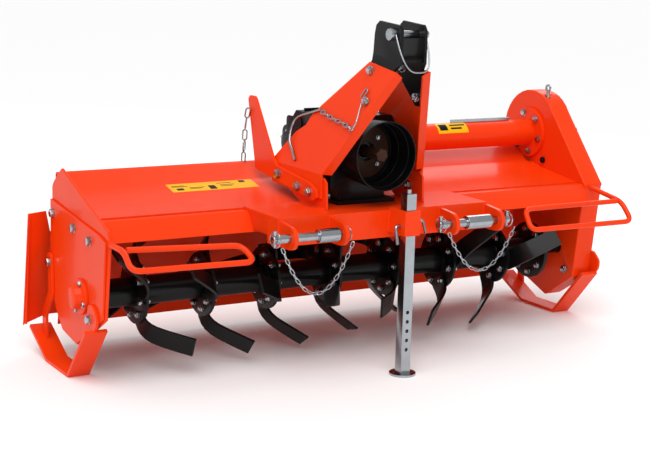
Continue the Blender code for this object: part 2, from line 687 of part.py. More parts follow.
def build_clevis(root):
    """Two plates either side of the top link, their lower legs bent out against the mast."""
    shift = (MAST_SHEET / 2 + CLEVIS_PLATE / 2 + GAP) * lean_length()

    def half(z):
        return mast_half(min(z, CLEVIS_BEND_Z)) - shift

    upper = [(-0.371, 0.830), (-0.371, 0.914), (-0.360, 0.928), (-0.268, 0.934), (-0.252, 0.922),
             (-0.246, 0.900), (-0.242, 0.852), (-0.237, 0.830)]
    lower = [(-0.352, 0.812), (-0.308, 0.735), (-0.296, 0.712), (-0.270, 0.712), (-0.258, 0.740), (-0.228, 0.800)]
    plates = []
    for side in (-1, 1):
        bm = bmesh.new()
        top = [bm.verts.new((HITCH_X + side * half(z), y, z)) for y, z in upper]
        leg = [bm.verts.new((HITCH_X + side * half(z), y, z)) for y, z in lower]
        bm.faces.new(top)
        bm.faces.new([top[0], *leg, top[-1]])
        bmesh.ops.recalc_face_normals(bm, faces=bm.faces)
        if side < 0:
            obj = solid("top_link_clevis", bm, "black_paint", root)
        else:
            obj = helper("top_link_clevis_other", bm, root)
        thick = obj.modifiers.new("sheet", "SOLIDIFY")
        thick.thickness = CLEVIS_PLATE
        thick.offset = 0.0
        plates.append(obj)
    clevis = plates[0]
    combine(clevis, "UNION", plates[1])
    reach = half(CLEVIS_BEND_Z)
    join(clevis, box((HITCH_X - reach, -0.364, 0.834), (HITCH_X + reach, -0.252, 0.841)))
    centre = (HITCH_X, TOP_PIN_Y, TOP_PIN_Z)
    cut(clevis, cylinder(-0.06, 0.06, TOP_PIN_RADIUS + PIN_FIT, centre, segments=24))
    outside = reach + CLEVIS_PLATE / 2 + GAP
    profile = [
        (-outside - 0.014, 0), (-outside - 0.014, 0.0150), (-outside, 0.0165), (-outside, TOP_PIN_RADIUS),
        (outside + 0.022, TOP_PIN_RADIUS), (outside + 0.024, 0.008), (outside + 0.024, 0),
    ]
    solid("top_link_pin", turned(profile, centre, segments=24), "zinc", root, smooth=True)
    path = []
    for i in range(17):
        angle = math.pi * i / 16
        x = HITCH_X - (outside + 0.0070) * math.cos(angle)
        swing = math.sin(angle)
        path.append((x, TOP_PIN_Y - 0.0184 - 0.045 * swing, TOP_PIN_Z - 0.090 * swing))
    bar("pin_hoop", path, 0.0023, "zinc", root, sides=2)


# ---------------------------------------------------------------- gearbox and drive
def build_gearbox(root):
    low, high = HITCH_X - GEARBOX_HALF, HITCH_X + GEARBOX_HALF
    profile = [
        (-0.145, 0.475), (-0.145, 0.648), (-0.125, GEARBOX_TOP_Z), (0.050, GEARBOX_TOP_Z), (0.070, 0.648),
        (0.078, 0.475),
    ]
    gearbox = solid("gearbox", prism(profile, low, high), "black_paint", root)
    rear = fillet([(0.060, 0.482), (0.120, 0.490), (0.165, 0.516), (0.212, 0.516), (0.212, 0.606), (0.060, 0.640)], 0.020, 4)
    join(gearbox, prism(rear, HITCH_X - 0.052, high))
    base = BEAM_PLATE_Z + BEAM_PLATE + GAP
    join(gearbox, box((low + 0.010, -0.170, base), (high - 0.010, -0.084, base + 0.010)))
    join(gearbox, box((low + 0.025, -0.140, base + 0.004), (high - 0.025, -0.095, 0.490)))
    axis = (HITCH_X, 0, PTO_Z)
    back = CUP_BACK_Y - GAP
    join(gearbox, cylinder(back + GAP, -0.120, 0.055, axis, "Y", 28))
    socket = PTO_SHAFT_RADIUS + PIN_FIT
    cut(gearbox, cylinder(back - 0.02, -0.100, socket, axis, "Y", 24))
    wall = 0.003
    profile = [
        (back, socket + 0.006), (back, CUP_RADIUS - 0.008), (CUP_RIM_Y, CUP_RADIUS), (CUP_RIM_Y, CUP_RADIUS - wall),
        (back - 0.004, CUP_RADIUS - 0.008 - wall), (back - 0.004, socket + 0.006),
    ]
    solid("pto_shield", turned(profile, axis, "Y", 40, ring=True), "black_paint", root, smooth=True)
    start, end = -0.103, -0.240
    profile = [(start, 0), (start, PTO_SHAFT_RADIUS), (end + 0.003, PTO_SHAFT_RADIUS),
               (end, PTO_SHAFT_RADIUS - 0.003), (end, 0)]
    solid("pto_input_shaft", turned(profile, axis, "Y", 24), "zinc", root, axis, smooth=True)
    side = low - GAP
    rest = fillet([(0.015, 0.588), (0.098, 0.588), (0.098, 0.652), (0.015, 0.652)], 0.014, 4)
    solid("driveline_rest", prism(rest, side - 0.003, side), "black_paint", root)


def build_shaft_tube(root):
    start = HITCH_X + GEARBOX_HALF + GAP
    end = INNER_RIGHT - GAP
    flange = end - 0.011
    profile = [
        (start, 0), (start, 0.050), (start + 0.010, 0.050), (start + 0.010, SHAFT_TUBE_RADIUS),
        (flange, SHAFT_TUBE_RADIUS), (flange, TUBE_FLANGE_RADIUS), (end, TUBE_FLANGE_RADIUS), (end, 0),
    ]
    tube = turned(profile, (0, SHAFT_TUBE_Y, SHAFT_TUBE_Z), segments=36)
    solid("shaft_tube", tube, "orange_paint", root, smooth=True)
    top = SHAFT_TUBE_Z + SHAFT_TUBE_RADIUS
    strip = box((0.470, SHAFT_TUBE_Y - 0.006, top + GAP), (0.690, SHAFT_TUBE_Y + 0.006, top + 0.009))
    solid("tube_strip", strip, "zinc", root)


# ---------------------------------------------------------------- guards and chains
def build_guard(name, root, x_out, x_in, start, top, low, droop):
    """Round bar: an arm forward from the housing, then a loop across the front, back to the arm."""
    inward = 1 if x_in > x_out else -1
    stop = (x_out + inward * (2 * GUARD_BAR_RADIUS + 0.001), top[0] + 0.010, top[1])
    points = [
        start, (x_out, *top), (x_out, *low), (x_in, low[0] + 0.008, low[1] - 0.5 * droop),
        (x_in + 0.012 * -inward, top[0] + 0.008, top[1] - droop), stop,
    ]
    bar(name, rounded_path(points, 0.024, 4), GUARD_BAR_RADIUS, "orange_paint", root, sides=3)


def build_guards(root):
    x = INNER_LEFT - PLATE / 2
    build_guard("guard_left", root, x, -0.440, (x, -0.1693, 0.385), (-0.250, 0.385), (-0.300, 0.345), 0.014)
    x = INNER_RIGHT + 0.025
    build_guard("guard_right", root, x, 0.435, (x, -0.1135, 0.420), (-0.250, 0.400), (-0.300, 0.350), 0.0)


def mast_face(y, z, off):
    """A point beside the left mast plate's outer face."""
    return (HITCH_X - mast_half(z) - (MAST_SHEET / 2 + off) * lean_length(), y, z)


def build_chains(root):
    off = 0.0036
    hook = [mast_face(-0.030, 0.560, off), mast_face(-0.048, 0.610, off), mast_face(-0.080, 0.655, off)]
    bar("driveline_hook", rounded_path(hook, 0.03, 5), 0.0035, "zinc", root)
    off = 0.0033
    chain = [mast_face(-0.092, 0.655, off), mast_face(-0.130, 0.632, off), mast_face(-0.190, 0.620, off),
             mast_face(-0.225, 0.628, off)]
    bar("driveline_chain", rounded_path(chain, 0.04, 4), 0.0035, "zinc", root)
    x = HITCH_X - MAST_FOOT_HALF - MAST_SHEET / 2 - GAP - 0.008 - 0.0042
    bar("tailboard_chain", [(x, 0.190, 0.662), (x, 0.206, 0.590), (x, 0.217, 0.5083)], 0.004, "zinc", root)


# ---------------------------------------------------------------- assembly
def world_bounds():
    """Lowest and highest corners of all the solids as they evaluate."""
    graph = bpy.context.evaluated_depsgraph_get()
    low = Vector((1e9, 1e9, 1e9))
    high = -low
    for obj in bpy.context.scene.objects:
        if obj.type == "EMPTY" or obj.hide_render:
            continue
        shape = obj.evaluated_get(graph)
        mesh = shape.to_mesh()
        for vert in mesh.vertices:
            point = shape.matrix_world @ vert.co
            low = Vector(map(min, low, point))
            high = Vector(map(max, high, point))
        shape.to_mesh_clear()
    return low, high


def main():
    clear_scene()
    root = bpy.data.objects.new("tiller", None)
    bpy.context.scene.collection.objects.link(root)
    build_left_end(root)
    build_drive_case(root)
    build_hood(root)
    build_tailboard(root)
    build_rotor(root)
    build_skids(root)
    build_hitch_beam(root)
    build_lower_pins(root)
    build_parking_leg(root)
    build_mast_plate("mast_left", -1, root)
    build_mast_plate("mast_right", 1, root)
    build_mast_feet(root)
    build_clevis(root)
    build_gearbox(root)
    build_shaft_tube(root)
    build_guards(root)
    build_chains(root)
    bpy.context.view_layer.update()
    low, high = world_bounds()
    middle = (low + high) / 2
    root.location = (-middle.x, -middle.y, -low.z)


main()
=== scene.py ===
"""Looks of a rotary tiller for a tractor's three-point hitch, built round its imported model.

Places are given in the maker's own frame, with the rotor along X at Y = 0 and the ground at Z = 0, and
``at`` moves them to the model's frame.
"""

from __future__ import annotations

import logging
import math
from collections.abc import Iterable, Sequence
from dataclasses import dataclass
from enum import Enum

import bmesh
import bpy
from mathutils import Matrix, Vector

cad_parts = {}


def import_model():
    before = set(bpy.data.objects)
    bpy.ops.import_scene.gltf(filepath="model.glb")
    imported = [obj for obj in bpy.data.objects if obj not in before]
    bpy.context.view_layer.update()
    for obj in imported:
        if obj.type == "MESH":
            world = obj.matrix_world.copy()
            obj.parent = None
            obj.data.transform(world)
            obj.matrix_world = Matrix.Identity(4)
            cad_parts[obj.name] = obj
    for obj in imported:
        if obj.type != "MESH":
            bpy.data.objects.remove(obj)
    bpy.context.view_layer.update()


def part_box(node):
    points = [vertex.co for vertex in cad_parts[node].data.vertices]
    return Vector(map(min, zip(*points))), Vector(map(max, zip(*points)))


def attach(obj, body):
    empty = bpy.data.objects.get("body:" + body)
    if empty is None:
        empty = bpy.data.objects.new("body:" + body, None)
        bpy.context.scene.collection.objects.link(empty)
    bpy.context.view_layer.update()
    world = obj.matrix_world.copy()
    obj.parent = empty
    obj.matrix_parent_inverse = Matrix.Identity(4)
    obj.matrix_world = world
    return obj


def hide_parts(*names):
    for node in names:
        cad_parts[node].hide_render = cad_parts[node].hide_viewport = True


LOG = logging.getLogger("tiller")
MERGE = 2e-5  # metres within which the loose corners of a copied node are one
SAME_POINT = 1e-6
MM_PER_M = 1000
ORIGIN = Vector((0.0, 0.0, 0.0))
Point = Sequence[float]


def at(x: float, y: float, z: float) -> Vector:
    """The place in the model's frame of a point in the maker's frame."""
    return Vector((x, y, z)) + ORIGIN


def set_origin() -> None:
    """Read where the maker's frame lies from the drive case's inner face and the rotor's axis."""
    case_low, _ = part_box("drive_case")
    rotor_low, rotor_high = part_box("rotor_tube")
    ORIGIN.x = case_low.x - 0.775
    ORIGIN.y = (rotor_low.y + rotor_high.y) / 2


# ---------------------------------------------------------------- finishes
def linear(colour: str) -> tuple[float, float, float, float]:
    """Turn an sRGB hex colour to linear.

    Args:
        colour: The colour, such as "#F0430F".

    Returns:
        Linear red, green and blue, and an alpha of 1.
    """
    channels = [int(colour[i : i + 2], 16) / 255 for i in (1, 3, 5)]
    red, green, blue = (c / 12.92 if c <= 0.04045 else ((c + 0.055) / 1.055) ** 2.4 for c in channels)
    return red, green, blue, 1.0


def add_node(
    tree: bpy.types.NodeTree, kind: str, inputs: dict | None = None, **settings: object
) -> bpy.types.Node:
    """Add one node with its settings, values and links.

    Args:
        tree: The material's node tree.
        kind: The node's type name.
        inputs: Input socket to a value, or to the output socket that feeds it.
        **settings: Properties of the node itself.

    Returns:
        The node.
    """
    made = tree.nodes.new(kind)
    for name, value in settings.items():
        setattr(made, name, value)
    for socket, value in (inputs or {}).items():
        if isinstance(value, bpy.types.NodeSocket):
            tree.links.new(value, made.inputs[socket])
        else:
            made.inputs[socket].default_value = value
    return made


@dataclass(frozen=True)
class Coating:
    """A finish: two close colours that drift into each other, and a grain that catches the light."""

    name: str
    light: str
    dark: str
    roughness: tuple[float, float]
    metallic: float = 0.0
    drift_mm: float = 180.0
    grain_mm: float = 1.6
    relief_mm: float = 0.02
    coat: float = 0.0
    slot: str = "orange_paint"
    specular: float = 0.10

    def build(self) -> bpy.types.Material:
        """Make the material."""
        material = bpy.data.materials.new(self.name)
        material.use_nodes = True
        tree = material.node_tree
        shader = tree.nodes["Principled BSDF"]
        shader.inputs["Metallic"].default_value = self.metallic
        shader.inputs["Coat Weight"].default_value = self.coat
        shader.inputs["Coat Roughness"].default_value = 0.12
        shader.inputs["Specular IOR Level"].default_value = self.specular
        place = add_node(tree, "ShaderNodeTexCoord").outputs["Object"]
        drift = self._noise(tree, place, self.drift_mm, 3.0)
        colour = add_node(tree, "ShaderNodeMix", {"Factor": drift.outputs["Fac"]}, data_type="RGBA")
        colour.inputs["A"].default_value = linear(self.light)
        colour.inputs["B"].default_value = linear(self.dark)
        tree.links.new(colour.outputs["Result"], shader.inputs["Base Color"])
        smudge = self._noise(tree, place, self.drift_mm / 5, 4.0)
        gloss = add_node(tree, "ShaderNodeMapRange", {"Value": smudge.outputs["Fac"]})
        gloss.inputs["To Min"].default_value, gloss.inputs["To Max"].default_value = self.roughness
        tree.links.new(gloss.outputs["Result"], shader.inputs["Roughness"])
        grain = self._noise(tree, place, self.grain_mm, 2.0)
        bump = add_node(
            tree, "ShaderNodeBump",
            {"Height": grain.outputs["Fac"], "Strength": 0.35, "Distance": self.relief_mm / MM_PER_M},
        )
        tree.links.new(bump.outputs["Normal"], shader.inputs["Normal"])
        return material

    @staticmethod
    def _noise(
        tree: bpy.types.NodeTree, place: bpy.types.NodeSocket, size_mm: float, detail: float
    ) -> bpy.types.Node:
        """Soft patches about as wide as a size in millimetres."""
        inputs = {"Vector": place, "Scale": MM_PER_M / size_mm, "Detail": detail}
        return add_node(tree, "ShaderNodeTexNoise", inputs)


class Finish(Enum):
    """The finishes of the machine, each named for what the real one is. The greased iron is also named for
    the painted shade it carries on the input shaft.
    """

    # Polyester powder coat on steel: saturated, glossy, with a faint orange-peel texture.
    POWDER_COAT = Coating("powder_coated_steel", "#F4400A", "#E93806", (0.34, 0.44), coat=0.16,
                          grain_mm=3.0, relief_mm=0.04)
    # Baked black enamel on forged and cast steel: deep black with sharp highlights.
    ENAMEL = Coating("black_enamelled_steel", "#0A0A0B", "#060606", (0.34, 0.46), coat=0.25, grain_mm=2.5,
                     relief_mm=0.03, slot="black_paint")
    # Bright zinc plate: a cool metal whose gloss changes from patch to patch.
    ZINC = Coating("zinc_plated_steel", "#B4B9BD", "#9AA0A5", (0.17, 0.25), metallic=1.0, drift_mm=25.0,
                   grain_mm=12.0, relief_mm=0.004, specular=0.5, slot="zinc")
    # Moulded polypropylene: dark, dull and finely spark-textured.
    MOULDED = Coating("moulded_polypropylene", "#1A1A1A", "#141414", (0.42, 0.55), grain_mm=1.0,
                      slot="black_plastic")
    # Cast iron with a film of grease: brown-black and half glossy. On the input shaft the same dark brown is
    # partly painted shade, standing for the shadow inside the shield cup.
    GREASED_IRON_AND_PAINTED_SHADE = Coating("greased_iron_and_painted_shade", "#4A2E22", "#2C1B15", (0.30, 0.45), drift_mm=40.0,
                           relief_mm=0.08,
                           slot="black_paint")
    # Printed vinyl: flat, even colour under a clear film.
    VINYL = Coating("yellow_vinyl", "#F2B70C", "#EDB108", (0.35, 0.40), coat=0.2, relief_mm=0.005,
                    slot="orange_paint")
    # Matt black fields on the film.
    INK = Coating("black_ink", "#1A1712", "#14120E", (0.38, 0.44), relief_mm=0.005, slot="black_plastic")


_MADE: dict[Finish, bpy.types.Material] = {}


def material_of(finish: Finish) -> bpy.types.Material:
    """The material of a finish, made once."""
    if finish not in _MADE:
        _MADE[finish] = finish.value.build()
    return _MADE[finish]


# ---------------------------------------------------------------- mesh helpers
def publish(
    name: str, shape: bmesh.types.BMesh, finish: Finish, body: str,
    replaced: Iterable[str] = (), bevel: float = 0.0, smooth_angle: float = 38.0,
) -> bpy.types.Object:
    """Turn a finished shape into a piece that moves with a body.

    Args:
        name: The piece's name.
        shape: Its shape, in the model's frame. It is freed.
        finish: Its finish.
        body: The body it rides on.
        replaced: Model nodes it stands for.
        bevel: Width in metres to round its hard edges by, or 0.
        smooth_angle: Edges sharper than this many degrees stay crisp.

    Returns:
        The piece.
    """
    mesh = bpy.data.meshes.new(name)
    shape.to_mesh(mesh)
    shape.free()
    mesh.shade_smooth()
    mesh.set_sharp_from_angle(angle=math.radians(smooth_angle))
    piece = bpy.data.objects.new(name, mesh)
    bpy.context.scene.collection.objects.link(piece)
    mesh.materials.clear()
    mesh.materials.append(material_of(finish))
    if bevel > 0:
        rounding = piece.modifiers.new("rounded_edges", "BEVEL")
        rounding.width = bevel
        rounding.segments = 2
        rounding.limit_method = "ANGLE"
        rounding.angle_limit = math.radians(32)
        rounding.harden_normals = True
    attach(piece, body)
    replaced = list(replaced)
    if replaced:
        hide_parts(*replaced)
    return piece


def merged_copy(node: str) -> bmesh.types.BMesh:
    """A copy of a model node's shape with its loose triangles joined into whole faces."""
    shape = bmesh.new()
    shape.from_mesh(bpy.data.objects[node].data)
    bmesh.ops.remove_doubles(shape, verts=shape.verts, dist=MERGE)
    bmesh.ops.dissolve_limit(
        shape, angle_limit=math.radians(0.6), verts=shape.verts, edges=shape.edges,
        use_dissolve_boundaries=False,
    )
    return shape


def block(low: Point, high: Point) -> bmesh.types.BMesh:
    """A box between two corners in the maker's frame."""
    a, b = at(*low), at(*high)
    shape = bmesh.new()
    bmesh.ops.create_cube(shape, size=1.0)
    bmesh.ops.scale(shape, verts=shape.verts, vec=b - a)
    bmesh.ops.translate(shape, verts=shape.verts, vec=(a + b) / 2)
    return shape


def rod(radius: float, length: float, sides: int = 24, tip: float | None = None) -> bmesh.types.BMesh:
    """A round bar, or a taper, up from the origin along Z."""
    shape = bmesh.new()
    bmesh.ops.create_cone(
        shape, cap_ends=True, segments=sides, radius1=radius, radius2=radius if tip is None else tip,
        depth=length,
    )
    bmesh.ops.translate(shape, verts=shape.verts, vec=(0, 0, length / 2))
    return shape


def turned(profile: Sequence[tuple[float, float]], steps: int = 40) -> bmesh.types.BMesh:
    """Spin a closed run of (height, radius) points round Z.

    Args:
        profile: The outline, which starts and ends on the axis or closes on itself.
        steps: How many faces go round.

    Returns:
        The turned solid.
    """
    shape = bmesh.new()
    verts = [shape.verts.new((radius, 0, height)) for height, radius in profile]
    edges = [shape.edges.new((a, b)) for a, b in zip(verts, verts[1:])]
    if profile[0][1] > 0:
        edges.append(shape.edges.new((verts[-1], verts[0])))
    bmesh.ops.spin(
        shape, geom=verts + edges, cent=(0, 0, 0), axis=(0, 0, 1), dvec=(0, 0, 0),
        angle=math.tau, steps=steps, use_merge=True, use_duplicate=False,
    )
    bmesh.ops.remove_doubles(shape, verts=shape.verts, dist=SAME_POINT)
    bmesh.ops.recalc_face_normals(shape, faces=shape.faces)
    return shape


def aimed(place: Vector, axis: Point, roll: float = 0.0) -> Matrix:
    """A transform that takes Z to an axis and the origin to a place in the model's frame."""
    turn = Vector((0, 0, 1)).rotation_difference(Vector(axis).normalized())
    return Matrix.Translation(place) @ turn.to_matrix().to_4x4() @ Matrix.Rotation(roll, 4, "Z")


def merge_into(target: bmesh.types.BMesh, part: bmesh.types.BMesh, transform: Matrix | None = None) -> None:
    """Add a part to a shape, moved by a transform. The part is freed."""
    if transform is not None:
        bmesh.ops.transform(part, matrix=transform, verts=part.verts)
    holder = bpy.data.meshes.new("holder")
    part.to_mesh(holder)
    part.free()
    target.from_mesh(holder)
    bpy.data.meshes.remove(holder)


def repeat_into(target: bmesh.types.BMesh, mesh: bpy.types.Mesh, transform: Matrix) -> None:
    """Add one more of a ready-made mesh to a shape."""
    part = bmesh.new()
    part.from_mesh(mesh)
    merge_into(target, part, transform)


def swept(points: Sequence[Vector], radius: float, closed: bool = False, sides: int = 4) -> bmesh.types.BMesh:
    """A round wire or bar along points.

    Args:
        points: The path in the model's frame.
        radius: The wire's radius in metres.
        closed: Whether the path joins its own start.
        sides: The curve's bevel resolution.

    Returns:
        The shape of the wire.
    """
    curve = bpy.data.curves.new("route", "CURVE")
    curve.dimensions = "3D"
    curve.bevel_depth = radius
    curve.bevel_resolution = sides
    curve.use_fill_caps = not closed
    spline = curve.splines.new("POLY")
    spline.points.add(len(points) - 1)
    for target, point in zip(spline.points, points):
        target.co = (*point, 1.0)
    spline.use_cyclic_u = closed
    carrier = bpy.data.objects.new("route", curve)
    bpy.context.scene.collection.objects.link(carrier)
    bpy.context.view_layer.update()
    mesh = bpy.data.meshes.new_from_object(carrier.evaluated_get(bpy.context.evaluated_depsgraph_get()))
    shape = bmesh.new()
    shape.from_mesh(mesh)
    bmesh.ops.remove_doubles(shape, verts=shape.verts, dist=SAME_POINT)
    bpy.data.objects.remove(carrier)
    bpy.data.curves.remove(curve)
    bpy.data.meshes.remove(mesh)
    return shape


def bent(points: Sequence[Point], radius: float, steps: int = 7) -> list[Vector]:
    """A path through corner points, with each inner corner bent to a radius."""
    corners = [at(*p) for p in points]
    path = [corners[0]]
    for before, corner, after in zip(corners, corners[1:], corners[2:]):
        back, ahead = before - corner, after - corner
        reach = min(radius, 0.45 * back.length, 0.45 * ahead.length)
        start, end = corner + back.normalized() * reach, corner + ahead.normalized() * reach
        for k in range(steps + 1):
            t = k / steps
            path.append(start * (1 - t) ** 2 + corner * (2 * t * (1 - t)) + end * t**2)
    path.append(corners[-1])
    return path


def smooth_route(points: Sequence[Point], count: int) -> list[Vector]:
    """Evenly numbered points on a smooth curve through the given ones."""
    knots = [at(*p) for p in points]
    ends = [knots[0] * 2 - knots[1], *knots, knots[-1] * 2 - knots[-2]]
    route = []
    spans = len(knots) - 1
    for i in range(count + 1):
        place = i / count * spans
        span = min(int(place), spans - 1)
        t = place - span
        a, b, c, d = ends[span : span + 4]
        route.append(
            0.5 * (2 * b + (c - a) * t + (2 * a - 5 * b + 4 * c - d) * t**2 + (3 * b - a - 3 * c + d) * t**3)
        )
    return route


# ---------------------------------------------------------------- hardware
class Hardware:
    """Bolts, nuts and chain links, each modelled once and repeated."""

    def __init__(self) -> None:
        """Model the standard pieces at a unit size of 10 mm across the thread."""
        self.head = self._fastener(nut=False)
        self.nut = self._fastener(nut=True)

    def _fastener(self, nut: bool) -> bpy.types.Mesh:
        """A washer with a chamfered hexagon on it, and a thread end through a nut."""
        shape = turned([(0.0, 0.0), (0.0, 0.0104), (0.0016, 0.0104), (0.0018, 0.0100), (0.0018, 0.0)], 24)
        hexagon = rod(0.0094, 0.0066, 6)
        rims = [e for e in hexagon.edges if all(v.co.z > 0.006 for v in e.verts)]
        bmesh.ops.bevel(
            hexagon, geom=rims, offset=0.0010, offset_type="OFFSET", affect="EDGES",
            segments=2, profile=0.5, material=-1,
        )
        merge_into(shape, hexagon, Matrix.Translation((0, 0, 0.0018)))
        if nut:
            merge_into(shape, rod(0.0050, 0.0045, 14, 0.0043), Matrix.Translation((0, 0, 0.0080)))
        mesh = bpy.data.meshes.new("nut" if nut else "head")
        shape.to_mesh(mesh)
        shape.free()
        return mesh

    def fasten(
        self, shape: bmesh.types.BMesh, place: Vector, axis: Point, thread_mm: float = 10.0, nut: bool = False
    ) -> None:
        """Set one bolt head or nut on a face.

        Args:
            shape: The shape that collects the fasteners.
            place: The point on the face, in the model's frame.
            axis: The face's outward direction.
            thread_mm: The thread's diameter.
            nut: A nut with its thread end in place of a head.
        """
        roll = (place.x * 37 + place.y * 91 + place.z * 53) % 1.0
        scale = Matrix.Scale(thread_mm / 10, 4)
        repeat_into(shape, self.nut if nut else self.head, aimed(place, axis, roll) @ scale)

    def link(self, length: float, width: float, wire: float) -> bpy.types.Mesh:
        """One oval link, long along Z and wide along X, welded from round wire."""
        half, across = (length - width) / 2, width / 2 - wire
        points = []
        for end, start in ((1, 0.0), (-1, math.pi)):
            for k in range(9):
                angle = start + math.pi * k / 8
                points.append(Vector((across * math.cos(angle), 0, end * half + across * math.sin(angle))))
        shape = swept(points, wire, closed=True, sides=2)
        mesh = bpy.data.meshes.new("link")
        shape.to_mesh(mesh)
        shape.free()
        return mesh

    def chain(self, route: Sequence[Vector], length: float, width: float, wire: float) -> bmesh.types.BMesh:
        """Hang links end to end along a route, each turned a quarter from the last.

        Args:
            route: Points in the model's frame, close together.
            length: A link's outside length.
            width: A link's outside width.
            wire: The radius of its wire.

        Returns:
            The whole chain.
        """
        mesh = self.link(length, width, wire)
        reach = [0.0]
        for a, b in zip(route, route[1:]):
            reach.append(reach[-1] + (b - a).length)
        count = max(2, round((reach[-1] - 2 * wire) / (length - 2.1 * wire)))
        shape = bmesh.new()

        def along(distance: float) -> Vector:
            """The point on the route at a distance from its start."""
            for i in range(1, len(route)):
                if distance <= reach[i] or i == len(route) - 1:
                    share = (distance - reach[i - 1]) / max(reach[i] - reach[i - 1], 1e-9)
                    return route[i - 1].lerp(route[i], share)
            return route[-1]

        pitch = reach[-1] / count
        for i in range(count):
            start, end = along(i * pitch), along((i + 1) * pitch)
            quarter = math.radians(40 + 90 * (i % 2))
            repeat_into(shape, mesh, aimed((start + end) / 2, end - start, quarter))
        bpy.data.meshes.remove(mesh)
        return shape


# ---------------------------------------------------------------- sub-assemblies
@dataclass
class CarriedBodies:
    """Model nodes whose shape is right, given rounded edges and their finish."""

    orange: tuple[tuple[str, float], ...] = (
        ("left_end_plate", 0.0016), ("left_cover_plate", 0.0014), ("drive_case", 0.0040),
        ("drive_case_cover", 0.0014), ("hood", 0.0010), ("front_rail", 0.0010), ("hitch_beam", 0.0030),
        ("leg_socket", 0.0020), ("mast_left", 0.0028), ("mast_right", 0.0028), ("mast_bracket_left", 0.0012),
        ("mast_bracket_right", 0.0012), ("rear_arm", 0.0014), ("left_skid", 0.0022), ("right_skid", 0.0022),
        ("left_bearing_housing", 0.0016), ("shaft_tube", 0.0012),
    )
    black: tuple[tuple[str, float], ...] = (
        ("top_link_clevis", 0.0012), ("gearbox", 0.0050), ("pto_shield", 0.0006), ("driveline_rest", 0.0012),
    )
    zinc: tuple[tuple[str, float], ...] = (
        ("parking_leg", 0.0014), ("lower_hitch_pin_left", 0.0010), ("lower_hitch_pin_right", 0.0010),
        ("top_link_pin", 0.0006), ("lifting_eye", 0.0), ("tube_strip", 0.0010),
    )

    def build(self) -> None:
        """Dress every carried body."""
        groups = ((self.orange, Finish.POWDER_COAT), (self.black, Finish.ENAMEL), (self.zinc, Finish.ZINC))
        for nodes, finish in groups:
            for node, width in nodes:
                body = "leg" if node == "parking_leg" else "frame"
                publish(node + "_body", merged_copy(node), finish, body, [node], bevel=width)
        board = merged_copy("tailboard")
        publish("tailboard_sheet", board, Finish.POWDER_COAT, "tailboard", ["tailboard"], bevel=0.0005)
        self._board_details()
        plug = merged_copy("case_plug")
        publish("case_plug_body", plug, Finish.MOULDED, "frame", ["case_plug"], bevel=0.0008)

    def _board_details(self) -> None:
        """The folded hem down the board's left end."""
        low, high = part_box("tailboard")
        board = bpy.data.objects["tailboard"].data
        edge = [v.co.copy() for v in board.vertices if v.co.x < low.x + 0.004]
        top, bottom = max(edge, key=lambda c: c.z), min(edge, key=lambda c: c.z)
        radius = 0.0040
        inward, short = Vector((0.0045, 0.0, 0.0)), Vector((0, 0, radius))
        hem = swept([top + inward - short, bottom + inward + short], radius, sides=3)
        publish("tailboard_hem", hem, Finish.POWDER_COAT, "tailboard")
        LOG.info("hem runs %.3f m down a board %.3f m wide", top.z - bottom.z, high.x - low.x)


@dataclass
class Rotor:
    """The tined rotor: its tube, seven flanges with curved blades, the drive flange and every bolt."""

    hardware: Hardware
    axis_z: float = 0.218
    first_x: float = -0.640
    pitch: float = 0.1935
    flange: float = 0.008
    tine: float = 0.007
    bolt_ring: float = 0.0653
    tips: tuple[float, ...] = (52.7, 34.6, 18.2, 1.4, -16.4, -38.9, -58.1)
    lag: float = 42.5
    drive_x: float = 0.665

    def spot(self, x: float, radius: float, degrees: float) -> Vector:
        """A place on the rotor, turned from straight down towards the front."""
        angle = math.radians(degrees)
        return at(x, -radius * math.sin(angle), self.axis_z - radius * math.cos(angle))

    def build(self) -> None:
        """Build and dress the rotor."""
        tube = merged_copy("rotor_tube")
        publish("rotor_tube_body", tube, Finish.ENAMEL, "rotor", ["rotor_tube"], bevel=0.001)
        bolts = bmesh.new()
        for number, tip in enumerate(self.tips):
            node = f"rotor_flange_{number + 1}"
            publish(f"tine_set_{number + 1}", merged_copy(node), Finish.ENAMEL, "rotor", [node], bevel=0.0009)
            x = self.first_x + number * self.pitch
            for k in range(4):
                side = 1 if k % 2 == 0 else -1
                for offset in (-22.5, 22.5):
                    angle = tip - self.lag + 90 * k + offset
                    outer = x + side * (self.flange / 2 + self.tine - 0.0006)
                    head = self.spot(outer, self.bolt_ring, angle)
                    self.hardware.fasten(bolts, head, (side, 0, 0), 9.5)
                    back = x - side * self.flange / 2
                    nut = self.spot(back, self.bolt_ring, angle)
                    self.hardware.fasten(bolts, nut, (-side, 0, 0), 9.5, nut=True)
        publish(
            "drive_flange_body", merged_copy("rotor_drive_flange"), Finish.ENAMEL, "rotor",
            ["rotor_drive_flange"], bevel=0.001,
        )
        half = 0.006
        for k in range(8):
            for side in (-1, 1):
                spot = self.spot(self.drive_x + side * half, self.bolt_ring, 45 * k + 10)
                self.hardware.fasten(bolts, spot, (side, 0, 0), 10, nut=side > 0)
        publish("rotor_bolts", bolts, Finish.ZINC, "rotor")
        welds = bmesh.new()
        for x in [self.first_x + i * self.pitch for i in range(7)] + [self.drive_x]:
            for side in (-1, 1):
                ring = [self.spot(x + side * 0.0062, 0.0385, 360 * k / 36) for k in range(36)]
                merge_into(welds, swept(ring, 0.0022, closed=True, sides=2))
        publish("rotor_welds", welds, Finish.ENAMEL, "rotor")


